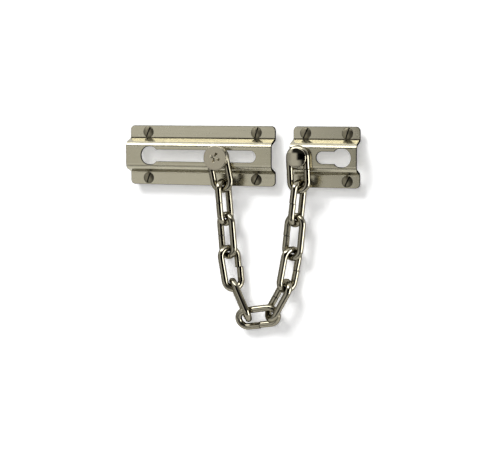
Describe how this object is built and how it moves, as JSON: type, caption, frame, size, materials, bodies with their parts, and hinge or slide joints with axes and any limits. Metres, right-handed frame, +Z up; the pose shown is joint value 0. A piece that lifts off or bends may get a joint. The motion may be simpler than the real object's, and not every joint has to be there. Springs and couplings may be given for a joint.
{
  "type": "door chain",
  "caption": "Nickel-plated door chain: a long slotted plate for the door, a short keyhole plate for the frame, and a bent-wire chain between a sliding stud and a riveted stud.",
  "frame": {"origin": "middle of the door plate's four screws, on the plane of the wall", "axes": "+X along the plates towards the frame plate, +Z up, +Y into the wall"},
  "size_m": [0.154, 0.0378, 0.1283],
  "materials": {
    "satin_nickel": "satin nickel plate on steel sheet",
    "polished_nickel": "bright nickel plate on steel",
    "screw_nickel": "nickel plate on steel, a little duller"
  },
  "bodies": {
    "plates": {"door_plate": "satin_nickel", "frame_plate": "satin_nickel", "door_plate_screws": "screw_nickel", "frame_plate_screws": "screw_nickel", "frame_stud": "polished_nickel"},
    "slide_stud": {"slide_bush": "polished_nickel", "slide_screw": "satin_nickel"},
    "link_01": {"link_01": "polished_nickel"},
    "link_02": {"link_02": "polished_nickel"},
    "link_03": {"link_03": "polished_nickel"},
    "link_04": {"link_04": "polished_nickel"},
    "link_05": {"link_05": "polished_nickel"},
    "link_06": {"link_06": "polished_nickel"},
    "link_07": {"link_07": "polished_nickel"},
    "link_08": {"link_08": "polished_nickel"},
    "link_09": {"link_09": "polished_nickel"},
    "link_10": {"link_10": "polished_nickel"},
    "link_11": {"link_11": "polished_nickel"}
  },
  "joints": [
    {"name": "stud_slide", "type": "slide", "parent": "plates", "child": "slide_stud", "axis": [1, 0, 0], "range_m": [-0.0477, 0.0208]},
    {"name": "link_01_swing", "type": "hinge", "parent": "slide_stud", "child": "link_01", "pos_m": [0.0147, -0.012, -0.00075], "axis": [0, 1, 0], "range_deg": [-11.5, 5.1]},
    {"name": "link_02_swing", "type": "hinge", "parent": "link_01", "child": "link_02", "pos_m": [0.01842, -0.012, -0.01823], "axis": [0, 1, 0], "range_deg": [-0.9, 0.5]},
    {"name": "link_03_swing", "type": "hinge", "parent": "link_02", "child": "link_03", "pos_m": [0.02024, -0.012, -0.03911], "axis": [0, 1, 0], "range_deg": [-1.2, 0.6]},
    {"name": "link_04_swing", "type": "hinge", "parent": "link_03", "child": "link_04", "pos_m": [0.02207, -0.012, -0.05998], "axis": [0, 1, 0], "range_deg": [-1.9, 0.9]},
    {"name": "link_05_swing", "type": "hinge", "parent": "link_04", "child": "link_05", "pos_m": [0.0257, -0.012, -0.08061], "axis": [0, 1, 0], "range_deg": [-3.6, 1.7]},
    {"name": "link_11_swing", "type": "hinge", "parent": "plates", "child": "link_11", "pos_m": [0.0678, -0.012, 0], "axis": [0, 1, 0], "range_deg": [-5.3, 11.9]},
    {"name": "link_10_swing", "type": "hinge", "parent": "link_11", "child": "link_10", "pos_m": [0.06874, -0.012, -0.01785], "axis": [0, 1, 0], "range_deg": [-0.5, 1]},
    {"name": "link_09_swing", "type": "hinge", "parent": "link_10", "child": "link_09", "pos_m": [0.06655, -0.012, -0.03869], "axis": [0, 1, 0], "range_deg": [-0.6, 1.3]},
    {"name": "link_08_swing", "type": "hinge", "parent": "link_09", "child": "link_08", "pos_m": [0.06436, -0.012, -0.05952], "axis": [0, 1, 0], "range_deg": [-0.9, 1.9]},
    {"name": "link_07_swing", "type": "hinge", "parent": "link_08", "child": "link_07", "pos_m": [0.06054, -0.012, -0.08012], "axis": [0, 1, 0], "range_deg": [-1.7, 3.7]},
    {"name": "link_06_swing", "type": "hinge", "parent": "link_07", "child": "link_06", "pos_m": [0.04974, -0.012, -0.0974], "axis": [0, 1, 0], "range_deg": [-17.3, 7.6]}
  ],
  "couplings": [
    {"joint": "link_01_swing", "follows": "stud_slide", "rad_per_m": 4.1575},
    {"joint": "link_02_swing", "follows": "stud_slide", "rad_per_m": 0.2878},
    {"joint": "link_03_swing", "follows": "stud_slide", "rad_per_m": 0.4007},
    {"joint": "link_04_swing", "follows": "stud_slide", "rad_per_m": 0.6268},
    {"joint": "link_05_swing", "follows": "stud_slide", "rad_per_m": 1.265},
    {"joint": "link_11_swing", "follows": "stud_slide", "rad_per_m": -4.3001},
    {"joint": "link_10_swing", "follows": "stud_slide", "rad_per_m": -0.2977},
    {"joint": "link_09_swing", "follows": "stud_slide", "rad_per_m": -0.4145},
    {"joint": "link_08_swing", "follows": "stud_slide", "rad_per_m": -0.6483},
    {"joint": "link_07_swing", "follows": "stud_slide", "rad_per_m": -1.3084},
    {"joint": "link_06_swing", "follows": "stud_slide", "rad_per_m": 6.2766}
  ]
}
